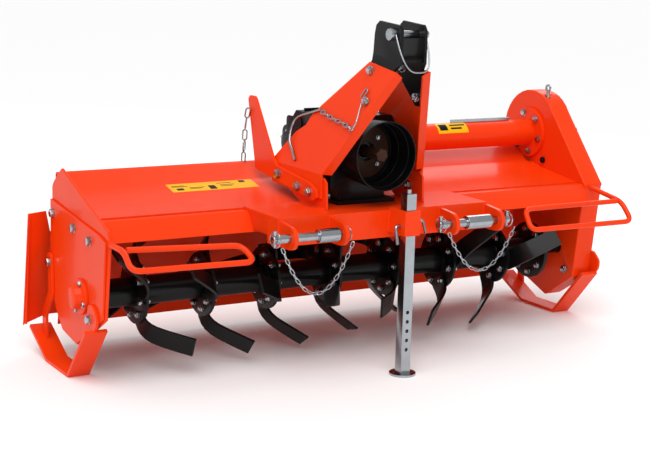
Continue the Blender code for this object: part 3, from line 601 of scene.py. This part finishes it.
@dataclass
class Ends:
    """Fasteners of the two ends of the housing."""

    hardware: Hardware
    cover_face: float = -0.7863
    lug_face: float = -0.7946
    housing_face: float = -0.7946
    case_face: float = 0.8433
    plate_inner_face: float = -0.772
    case_inner_face: float = 0.775
    housing_ring: float = 0.0395
    rotor_z: float = 0.218

    def build(self) -> None:
        """Set every bolt of the two ends."""
        bolts = bmesh.new()
        for y, z in ((0.205, 0.400), (0.053, 0.387), (-0.057, 0.374)):
            self.hardware.fasten(bolts, at(self.cover_face, y, z), (-1, 0, 0), 12)
            self.hardware.fasten(bolts, at(self.plate_inner_face, y, z), (1, 0, 0), 12, nut=True)
        for y, z in ((-0.072, 0.175), (0.213, 0.265)):
            self.hardware.fasten(bolts, at(self.lug_face, y, z), (-1, 0, 0), 12)
            self.hardware.fasten(bolts, at(self.plate_inner_face, y, z), (1, 0, 0), 12, nut=True)
        for degrees in (20, 110, 200, 290):
            angle = math.radians(degrees)
            y, z = self.housing_ring * math.cos(angle), self.rotor_z + self.housing_ring * math.sin(angle)
            self.hardware.fasten(bolts, at(self.housing_face, y, z), (-1, 0, 0), 8)
        self.hardware.fasten(bolts, at(self.case_inner_face, -0.044, 0.155), (-1, 0, 0), 12)
        rim = (
            (-0.098, 0.425), (-0.090, 0.300), (-0.062, 0.160), (0.050, 0.080), (0.150, 0.118), (0.208, 0.230),
            (0.208, 0.350), (0.208, 0.455), (0.270, 0.540), (0.225, 0.655), (0.120, 0.665), (0.030, 0.575),
        )
        for y, z in rim:
            self.hardware.fasten(bolts, at(self.case_face, y, z), (1, 0, 0), 8)
        publish("end_bolts", bolts, Finish.ZINC, "frame")


@dataclass
class Drive:
    """Gearbox details, the splined input shaft, and the shaft tube's bolts and label."""

    hardware: Hardware
    x: float = -0.038
    pto_z: float = 0.579
    tube_y: float = 0.165
    tube_z: float = 0.556
    tube_radius: float = 0.040
    flange_face: float = 0.7637
    flange_bolt_ring: float = 0.062

    def build(self) -> None:
        """Build and dress the drive."""
        self._shaft()
        self._gearbox()
        self._tube()

    def _shaft(self) -> None:
        """The input shaft, with six splines on a plain root."""
        root_share = 0.86
        shape = bmesh.new()
        bmesh.ops.create_circle(shape, cap_ends=True, segments=48, radius=0.0173)
        for index, vert in enumerate(shape.verts):
            if index % 8 in (5, 6, 7):
                vert.co.xy *= root_share
        top = bmesh.ops.extrude_face_region(shape, geom=list(shape.faces))
        ends = [v for v in top["geom"] if isinstance(v, bmesh.types.BMVert)]
        bmesh.ops.translate(shape, verts=ends, vec=(0, 0, 0.060))
        bmesh.ops.recalc_face_normals(shape, faces=shape.faces)
        spline = aimed(at(self.x, -0.180, self.pto_z), (0, -1, 0))
        whole = bmesh.new()
        merge_into(whole, shape, spline)
        merge_into(whole, rod(0.0145, 0.090, 32), aimed(at(self.x, -0.1035, self.pto_z), (0, -1, 0)))
        # The shaft's dark brown finish is partly grease and partly painted shade, standing for the shadow
        # inside the shield cup.
        publish("pto_splined_shaft", whole, Finish.GREASED_IRON_AND_PAINTED_SHADE, "pto_shaft", ["pto_input_shaft"])

    def _gearbox(self) -> None:
        """Side cover, ribs, plug, seal plate with its caps, shield rings and bolts of the cast housing."""
        black, bright, brown = bmesh.new(), bmesh.new(), bmesh.new()
        cover = turned([(0, 0), (0, 0.042), (0.006, 0.042), (0.011, 0.033), (0.013, 0.020), (0.013, 0)], 40)
        merge_into(black, cover, aimed(at(self.x - 0.052, 0.165, 0.561), (-1, 0, 0)))
        for k in range(6):
            a = math.radians(60 * k + 22)
            spot = at(self.x - 0.058, 0.165 + 0.036 * math.cos(a), 0.561 + 0.036 * math.sin(a))
            self.hardware.fasten(bright, spot, (-1, 0, 0), 5.5)
        for y in (-0.07, -0.02, 0.03):
            merge_into(black, block((self.x - 0.085, y - 0.003, 0.668), (self.x + 0.085, y + 0.003, 0.677)))
        merge_into(bright, rod(0.011, 0.012, 6), aimed(at(self.x + 0.030, 0.005, 0.669), (0, 0, 1)))
        for x, y in ((-0.075, -0.095), (0.075, -0.095)):
            self.hardware.fasten(bright, at(self.x + x, y, 0.4488), (0, 0, 1), 10)
        plate = turned([(0, 0.026), (0, 0.070), (0.003, 0.072), (0.005, 0.060), (0.006, 0.026)], 40)
        merge_into(brown, plate, aimed(at(self.x, -0.1568, self.pto_z), (0, -1, 0)))
        for k in range(4):
            a = math.radians(45 + 90 * k)
            spot = at(self.x + 0.052 * math.cos(a), -0.1625, self.pto_z + 0.052 * math.sin(a))
            self.hardware.fasten(bright, spot, (0, -1, 0), 7)
        for radius, y in ((0.0865, -0.236), (0.0845, -0.190)):
            turns = [math.tau * k / 48 for k in range(48)]
            ring = [at(self.x + radius * math.cos(a), y, self.pto_z + radius * math.sin(a)) for a in turns]
            merge_into(black, swept(ring, 0.0018, closed=True, sides=2))
        for x, z in ((-0.058, 0.030), (-0.046, 0.052)):
            outline = [(0, 0), (0, 0.0115), (0.003, 0.0115), (0.004, 0.0095), (0.0025, 0.0040), (0.0025, 0)]
            cap = turned(outline, 24)
            merge_into(brown, cap, aimed(at(self.x + x, -0.1628, self.pto_z + z), (0, -1, 0)))
        publish("gearbox_castings", black, Finish.ENAMEL, "frame", bevel=0.0008)
        publish("gearbox_fasteners", bright, Finish.ZINC, "frame")
        publish("input_seal_plate", brown, Finish.GREASED_IRON_AND_PAINTED_SHADE, "frame")

    def _tube(self) -> None:
        """Bolts of the shaft tube's right flange and its yellow label with blank fields."""
        bolts = bmesh.new()
        for k in range(6):
            a = math.radians(60 * k + 15)
            y, z = self.flange_bolt_ring * math.cos(a), self.flange_bolt_ring * math.sin(a)
            spot = at(self.flange_face, self.tube_y + y, self.tube_z + z)
            self.hardware.fasten(bolts, spot, (-1, 0, 0), 10)
        publish("tube_bolts", bolts, Finish.ZINC, "frame")
        for name, low, high, start, sweep, lift, finish in (
            ("tube_label", 0.402, 0.512, 8.0, 62.0, 0.0006, Finish.VINYL),
            ("tube_label_mark", 0.410, 0.438, 22.0, 34.0, 0.0012, Finish.INK),
            ("tube_label_bars", 0.450, 0.505, 26.0, 8.0, 0.0012, Finish.INK),
            ("tube_label_line", 0.450, 0.490, 44.0, 8.0, 0.0012, Finish.INK),
        ):
            shape = bmesh.new()
            turn = math.radians(start)
            radius = self.tube_radius + lift
            y, z = -radius * math.sin(turn), radius * math.cos(turn)
            verts = [shape.verts.new((x, y, z)) for x in (low, high)]
            edge = shape.edges.new(verts)
            bmesh.ops.spin(
                shape, geom=[*verts, edge], cent=(0, 0, 0), axis=(1, 0, 0), dvec=(0, 0, 0),
                angle=math.radians(sweep), steps=14, use_merge=False, use_duplicate=False,
            )
            bmesh.ops.recalc_face_normals(shape, faces=shape.faces)
            bmesh.ops.solidify(shape, geom=list(shape.faces), thickness=0.0004)
            bmesh.ops.translate(shape, verts=shape.verts, vec=at(0, self.tube_y, self.tube_z))
            bmesh.ops.recalc_face_normals(shape, faces=shape.faces)
            publish(name, shape, finish, "frame")


@dataclass
class Hitch:
    """Mast fasteners, the top link pin's hoop, the lower pins' lynch pins and the tether chains."""

    hardware: Hardware
    x: float = -0.038
    pin_y: float = -0.330
    pin_z: float = 0.398
    lean: float = 0.38

    def mast(self, y: float, z: float, lift: float) -> tuple[float, float, float]:
        """A point above the outer face of the left mast plate."""
        half = 0.158 - self.lean * max(0.0, z - 0.530)
        return self.x - half - (0.003 + lift) * 1.07, y, z

    def build(self) -> None:
        """Build and dress the hitch."""
        self._bolts()
        self._pins()
        self._welds()
        self._driveline()

    def _bolts(self) -> None:
        """Bolts of the mast feet and the clevis."""
        bolts = bmesh.new()
        for y, z in ((0.018, 0.500), (-0.090, 0.482), (-0.150, 0.476)):
            self.hardware.fasten(bolts, at(self.x - 0.1693, y, z), (-1, 0, 0), 13)
            self.hardware.fasten(bolts, at(self.x - 0.1487, y, z), (1, 0, 0), 13, nut=True)
            self.hardware.fasten(bolts, at(self.x + 0.161, y, z), (1, 0, 0), 13)
            self.hardware.fasten(bolts, at(self.x + 0.1487, y, z), (-1, 0, 0), 13, nut=True)
        outward = Vector((-1, 0, -self.lean)).normalized()
        for y, z in ((-0.262, 0.806), (-0.290, 0.730)):
            left = self.mast(y, z, 0.0)
            right = (2 * self.x - left[0], y, z)
            self.hardware.fasten(bolts, at(*left), (-1, 0, -self.lean), 13)
            self.hardware.fasten(bolts, at(*right), (1, 0, -self.lean), 13)
            inner = Vector(left) - outward * 0.0145
            self.hardware.fasten(bolts, at(*inner), -outward, 13, nut=True)
            mirrored = (2 * self.x - inner.x, inner.y, inner.z)
            self.hardware.fasten(bolts, at(*mirrored), (-1, 0, self.lean), 13, nut=True)
        publish("mast_bolts", bolts, Finish.ZINC, "frame")

    def _pins(self) -> None:
        """Lynch pins, tether chains and the wire hoop of the top pin."""
        lynch = bmesh.new()
        for name, low, high, drop in (("left", -0.375, -0.155, 0.135), ("right", 0.127, 0.359, 0.120)):
            ends = (self.x + low + 0.008, self.x + high - 0.006)
            for x in ends:
                for radius, length, foot in ((0.0042, 0.040, -0.020), (0.0062, 0.008, 0.0145)):
                    stem = aimed(at(x, self.pin_y, self.pin_z + foot), (0, 0, 1))
                    merge_into(lynch, rod(radius, length, 16), stem)
                loop = 0.0195
                ring = [
                    at(x + 0.004 * math.sin(a), self.pin_y - loop * math.sin(a) - 0.002,
                       self.pin_z + loop * math.cos(a))
                    for a in [math.tau * k / 28 for k in range(28)]
                ]
                merge_into(lynch, swept(ring, 0.0018, closed=True, sides=2))
            route = []
            for i in range(61):
                t = i / 60
                sag = drop * (1 - (2 * t - 1) ** 2)
                route.append(at(ends[0] + (ends[1] - ends[0]) * t, -0.3675, self.pin_z - 0.014 - sag * 0.93))
            links = self.hardware.chain(route, 0.0185, 0.0105, 0.0014)
            publish(f"tether_links_{name}", links, Finish.ZINC, "frame", [f"tether_chain_{name}"])
        publish("lynch_pins", lynch, Finish.ZINC, "frame")
        hoop = []
        for i in range(41):
            a = math.pi * i / 40
            swing = math.sin(a) ** 0.8
            spread = math.copysign(abs(math.cos(a)) ** 0.6, math.cos(a))
            hoop.append(at(self.x - 0.0445 * spread, -0.3534 - 0.045 * swing, 0.903 - 0.092 * swing))
        publish("pin_hoop_wire", swept(hoop, 0.0022, sides=3), Finish.ZINC, "frame", ["pin_hoop"])

    def _welds(self) -> None:
        """Weld beads at the ears, the socket and the feet."""
        beads = bmesh.new()
        for offset in (-0.321, -0.172, 0.172, 0.321):
            for side in (-1, 1):
                x = self.x + offset + side * 0.0062
                merge_into(beads, swept([at(x, -0.2755, 0.368), at(x, -0.2755, 0.434)], 0.0028, sides=2))
        for x in (-0.034, 0.014):
            merge_into(beads, swept([at(x, -0.2765, 0.381), at(x, -0.2765, 0.437)], 0.0026, sides=2))
        for side in (-1, 1):
            for edge in (0.1487, 0.1547):
                x = self.x + side * edge
                merge_into(beads, swept([at(x, -0.215, 0.4390), at(x, -0.085, 0.4390)], 0.0026, sides=2))
        for x, y, z in ((-0.776, -0.171, 0.385), (0.800, -0.116, 0.420)):
            bar = 0.0075
            turns = [math.tau * k / 16 for k in range(16)]
            ring = [at(x + bar * math.cos(a), y, z + bar * math.sin(a)) for a in turns]
            merge_into(beads, swept(ring, 0.0022, closed=True, sides=2))
        publish("weld_beads", beads, Finish.POWDER_COAT, "frame")

    def _driveline(self) -> None:
        """The hook rod, its chain and the hair pin on the left mast plate, and the tailboard's chain."""
        lift = 0.0042
        rod_points = [
            self.mast(-0.054, 0.548, lift), self.mast(-0.024, 0.570, lift),
            self.mast(0.002, 0.596, lift + 0.004),
            self.mast(0.010, 0.634, lift + 0.006), self.mast(-0.004, 0.657, lift + 0.006),
            self.mast(-0.042, 0.672, lift), self.mast(-0.096, 0.688, lift),
        ]
        wire = swept(smooth_route(rod_points, 50), 0.0036, sides=3)
        publish("hook_rod", wire, Finish.ZINC, "frame", ["driveline_hook"])
        chain_points = [
            self.mast(-0.100, 0.684, lift), self.mast(-0.172, 0.671, lift), self.mast(-0.213, 0.668, lift),
            self.mast(-0.256, 0.661, lift + 0.002), self.mast(-0.292, 0.660, lift + 0.010),
        ]
        links = self.hardware.chain(smooth_route(chain_points, 60), 0.025, 0.0140, 0.0021)
        publish("hook_chain_links", links, Finish.ZINC, "frame", ["driveline_chain"])
        pin_points = [
            self.mast(-0.262, 0.738, lift), self.mast(-0.270, 0.757, lift), self.mast(-0.284, 0.757, lift),
            self.mast(-0.276, 0.735, lift), self.mast(-0.286, 0.712, lift + 0.006),
            self.mast(-0.300, 0.682, lift + 0.012),
            self.mast(-0.296, 0.664, lift + 0.012),
        ]
        publish("hair_pin", swept(smooth_route(pin_points, 50), 0.0019, sides=3), Finish.ZINC, "frame")
        x = self.x - 0.158 - 0.003 - 0.0003 - 0.008 - 0.0068
        sag = [(x, 0.186, 0.664), (x - 0.001, 0.202, 0.610), (x - 0.001, 0.208, 0.556), (x, 0.214, 0.503)]
        links = self.hardware.chain(smooth_route(sag, 60), 0.034, 0.0165, 0.0023)
        publish("tailboard_links", links, Finish.ZINC, "frame", ["tailboard_chain"])


@dataclass
class RoundBarWork:
    """The two guards and the leg's locking pin."""

    bar: float = 0.0075

    def guard(
        self, name: str, x_out: float, x_in: float, start: Point, top: Point, low: Point, droop: float
    ) -> None:
        """Bend one guard from round bar.

        Args:
            name: The side it stands on.
            x_out: Where its arm stands.
            x_in: Where its loop ends.
            start: The arm's root.
            top: The loop's upper bar, as (y, z).
            low: The loop's lower bar, as (y, z).
            droop: How much lower the loop's inner end lies.
        """
        inward = 1 if x_in > x_out else -1
        stop = (x_out + inward * (2 * self.bar - 0.004), top[0] + 0.010, top[1])
        points = [
            start, (x_out, *top), (x_out, *low), (x_in, low[0] + 0.008, low[1] - 0.5 * droop),
            (x_in - 0.012 * inward, top[0] + 0.008, top[1] - droop), stop,
        ]
        shape = swept(bent(points, 0.026, 9), self.bar, sides=5)
        publish(f"guard_{name}_bar", shape, Finish.POWDER_COAT, "frame", [f"guard_{name}"])

    def build(self) -> None:
        """Build and dress the bar work."""
        self.guard("left", -0.776, -0.440, (-0.776, -0.1693, 0.385), (-0.250, 0.385), (-0.300, 0.345), 0.014)
        self.guard("right", 0.800, 0.435, (0.800, -0.1135, 0.420), (-0.250, 0.400), (-0.300, 0.350), 0.0)
        grip = [(-0.0343, -0.332, 0.405), (-0.0483, -0.332, 0.405), (-0.0503, -0.346, 0.359)]
        grip_bar = swept(bent(grip, 0.012), 0.005, sides=4)
        publish("leg_pin_grip_bar", grip_bar, Finish.ZINC, "frame", ["leg_pin_grip"])
        end = [(0.0143, -0.332, 0.417), (0.0363, -0.332, 0.417), (0.0403, -0.342, 0.383)]
        end_bar = swept(bent(end, 0.010), 0.004, sides=4)
        publish("leg_pin_end_bar", end_bar, Finish.ZINC, "frame", ["leg_pin_end"])


@dataclass
class Labels:
    """Plain labels on the hood: yellow film with blank black fields and no lettering."""

    left: float = -0.488
    right: float = -0.226
    y_front: float = 0.090
    y_rear: float = 0.144

    def surface(self, y: float) -> float:
        """Height of the hood's top in the strip that holds the label."""
        return 0.453 + (y - 0.085) * (0.468 - 0.453) / 0.065

    def patch(self, x0: float, x1: float, y0: float, y1: float, lift: float) -> bmesh.types.BMesh:
        """A thin film on the hood."""
        shape = bmesh.new()
        corners = ((x0, y0), (x1, y0), (x1, y1), (x0, y1))
        face = shape.faces.new([shape.verts.new(at(x, y, self.surface(y) + lift)) for x, y in corners])
        grown = bmesh.ops.extrude_face_region(shape, geom=[face])
        raised = [v for v in grown["geom"] if isinstance(v, bmesh.types.BMVert)]
        bmesh.ops.translate(shape, verts=raised, vec=(0, 0, 0.0004))
        bmesh.ops.recalc_face_normals(shape, faces=shape.faces)
        return shape

    def build(self) -> None:
        """Lay the film and its blank fields."""
        film = self.patch(self.left, self.right, self.y_front, self.y_rear, 0.0003)
        publish("hood_label", film, Finish.VINYL, "frame")
        marks = bmesh.new()
        fields = (
            (-0.372, -0.352, 0.096, 0.120), (-0.270, -0.252, 0.128, 0.140), (-0.478, -0.440, 0.128, 0.130),
            (-0.478, -0.432, 0.122, 0.124), (-0.430, -0.385, 0.112, 0.114), (-0.430, -0.395, 0.106, 0.108),
            (-0.340, -0.296, 0.130, 0.132), (-0.335, -0.290, 0.118, 0.120), (-0.335, -0.300, 0.110, 0.112),
            (-0.470, -0.450, 0.100, 0.112),
        )
        for x0, x1, y0, y1 in fields:
            merge_into(marks, self.patch(x0, x1, y0, y1, 0.0008))
        publish("hood_label_fields", marks, Finish.INK, "frame")


# ---------------------------------------------------------------- studio
@dataclass
class Studio:
    """A pale floor, soft light and the camera."""

    eye: tuple[float, float, float] = (-2.124, -3.447, 1.137)
    azimuth: float = 30.86
    elevation: float = 11.21
    roll: float = 1.57
    lens: float = 80.956

    def build(self) -> None:
        """Set up the floor, the lights, the world and the camera."""
        self._camera()
        self._floor()
        world = bpy.data.worlds.new("studio")
        world.use_nodes = True
        world.node_tree.nodes["Background"].inputs["Color"].default_value = (1.0, 1.0, 1.0, 1.0)
        world.node_tree.nodes["Background"].inputs["Strength"].default_value = 0.55
        bpy.context.scene.world = world
        bpy.context.scene.view_settings.view_transform = "Standard"
        for name, place, size, power in (
            ("key", (-2.2, -3.4, 3.4), 2.0, 38.0), ("rim", (2.6, 2.4, 2.6), 2.0, 30.0),
        ):
            light = bpy.data.lights.new(name, "AREA")
            light.size = size
            light.energy = power
            self._hang(light, place)
        sky = bpy.data.lights.new("sky", "SUN")
        sky.energy = 1.75
        sky.angle = math.radians(50)
        self._hang(sky, (-1.2, -1.6, 4.0))

    def _hang(self, light: bpy.types.Light, place: Point) -> None:
        """Point a light at the machine."""
        lamp = bpy.data.objects.new(light.name, light)
        lamp.location = at(*place)
        lamp.rotation_euler = (at(0, 0, 0.35) - lamp.location).to_track_quat("-Z", "Y").to_euler()
        bpy.context.scene.collection.objects.link(lamp)

    def _camera(self) -> None:
        """Place the camera."""
        a, e, r = (math.radians(v) for v in (self.azimuth, self.elevation, self.roll))
        back = Vector((-math.sin(a) * math.cos(e), -math.cos(a) * math.cos(e), math.sin(e)))
        right = (-back).cross(Vector((0, 0, 1))).normalized()
        up = right.cross(-back)
        across = right * math.cos(r) + up * math.sin(r)
        upward = up * math.cos(r) - right * math.sin(r)
        turn = Matrix((across, upward, back)).transposed()
        camera = bpy.data.objects.new("camera", bpy.data.cameras.new("camera"))
        camera.data.lens = self.lens
        camera.data.sensor_width = 36.0
        camera.data.sensor_fit = "HORIZONTAL"
        camera.data.clip_start = 0.05
        camera.matrix_world = Matrix.Translation(at(*self.eye)) @ turn.to_4x4()
        bpy.context.scene.collection.objects.link(camera)
        bpy.context.scene.camera = camera

    def _floor(self) -> None:
        """Lay the floor."""
        shape = bmesh.new()
        bmesh.ops.create_grid(shape, x_segments=1, y_segments=1, size=30.0)
        mesh = bpy.data.meshes.new("floor")
        shape.to_mesh(mesh)
        shape.free()
        floor = bpy.data.objects.new("floor", mesh)
        paper = bpy.data.materials.new("backdrop_paper")
        paper.use_nodes = True
        shader = paper.node_tree.nodes["Principled BSDF"]
        shader.inputs["Base Color"].default_value = linear("#FBFBFB")
        shader.inputs["Roughness"].default_value = 0.9
        mesh.materials.append(paper)
        bpy.context.scene.collection.objects.link(floor)


def main() -> None:
    """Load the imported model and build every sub-assembly round it."""
    logging.basicConfig(level=logging.INFO, format="%(message)s")
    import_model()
    set_origin()
    Studio().build()
    hardware = Hardware()
    for assembly in (
        CarriedBodies(), Rotor(hardware), Ends(hardware), Drive(hardware), Hitch(hardware),
        RoundBarWork(), Labels(),
    ):
        assembly.build()
        LOG.info("built %s", type(assembly).__name__)


if __name__ == "__main__":
    main()
